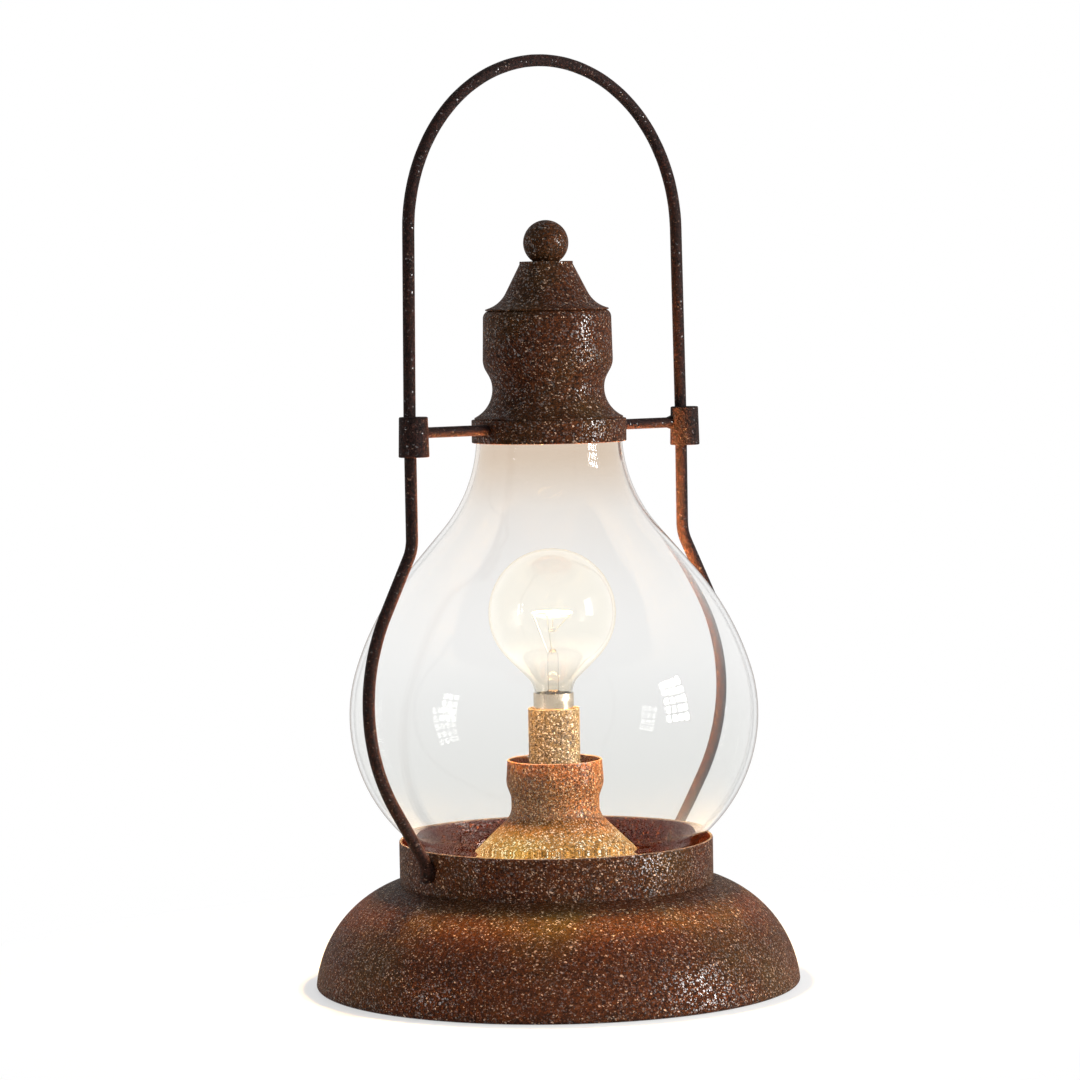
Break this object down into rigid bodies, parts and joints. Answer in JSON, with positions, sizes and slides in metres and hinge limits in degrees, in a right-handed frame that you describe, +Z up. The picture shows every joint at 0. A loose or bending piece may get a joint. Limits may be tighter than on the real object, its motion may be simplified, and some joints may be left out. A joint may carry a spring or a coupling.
{
  "type": "lantern table lamp",
  "caption": "Table lamp shaped like a hurricane lantern: domed base with a collar, clear pear-shaped globe round a globe bulb, chimney cap with a ball on top, wire guards and a tall wire bail.",
  "frame": {"origin": "on the table, on the lamp's vertical axis, under the centre of the base", "axes": "+Z up along the lamp's axis; the bail and the guard wires stand in the XZ plane; +Y is the back, where the cord enters the base, and the ferrules' thick side faces -Y"},
  "size_m": [0.303, 0.303, 0.5795],
  "materials": {
    "rust_paint": "rough, sand-textured rust-brown paint",
    "spigot_paint": "satin",
    "cover_paint": "satin",
    "zinc_steel": "satin",
    "felt": "matte",
    "black_rubber": "matte",
    "clear_glass": "polished",
    "bulb_glass": "polished",
    "holder_plastic": "matte",
    "holder_brass": "satin",
    "bulb_metal": "satin",
    "bulb_insulation": "gloss",
    "solder": "satin",
    "lead_wire": "satin",
    "filament": "glowing"
  },
  "bodies": {
    "lamp_frame": {"base_dome": "rust_paint", "base_collar": "rust_paint", "bottom_cover": "cover_paint", "cover_screws": "zinc_steel", "felt_feet": "felt", "cord_gland": "black_rubber", "glass_gasket": "black_rubber", "globe_bowl": "clear_glass", "globe_shoulder": "clear_glass", "pedestal_cup": "rust_paint", "nipple_tube": "zinc_steel", "nipple_nuts": "zinc_steel", "nipple_washer": "zinc_steel", "socket_sleeve": "rust_paint", "holder_body": "holder_plastic", "holder_screw_shell": "holder_brass", "holder_contact": "holder_brass", "cap_ring": "rust_paint", "bail_handle": "rust_paint", "ferrule_right": "rust_paint", "ferrule_left": "rust_paint", "arm_right": "rust_paint", "arm_left": "rust_paint", "guard_wire_right": "rust_paint", "guard_wire_left": "rust_paint"},
    "chimney_cap": {"cap_body": "rust_paint", "cap_spigot": "spigot_paint", "cap_crown": "rust_paint", "ball_finial": "rust_paint", "finial_stud": "zinc_steel", "finial_nut": "zinc_steel"},
    "bulb": {"bulb_cap": "bulb_metal", "bulb_insulator": "bulb_insulation", "bulb_tip": "solder", "bulb_glass": "bulb_glass", "bulb_stem": "bulb_glass", "bulb_leads": "lead_wire", "bulb_filament": "filament"}
  },
  "joints": [
    {"name": "cap_lift", "type": "slide", "parent": "lamp_frame", "child": "chimney_cap", "axis": [0, 0, 1], "range_m": [0, 0.085]},
    {"name": "bulb_lift", "type": "slide", "parent": "lamp_frame", "child": "bulb", "axis": [0, 0, 1], "range_m": [0, 0.03]}
  ]
}
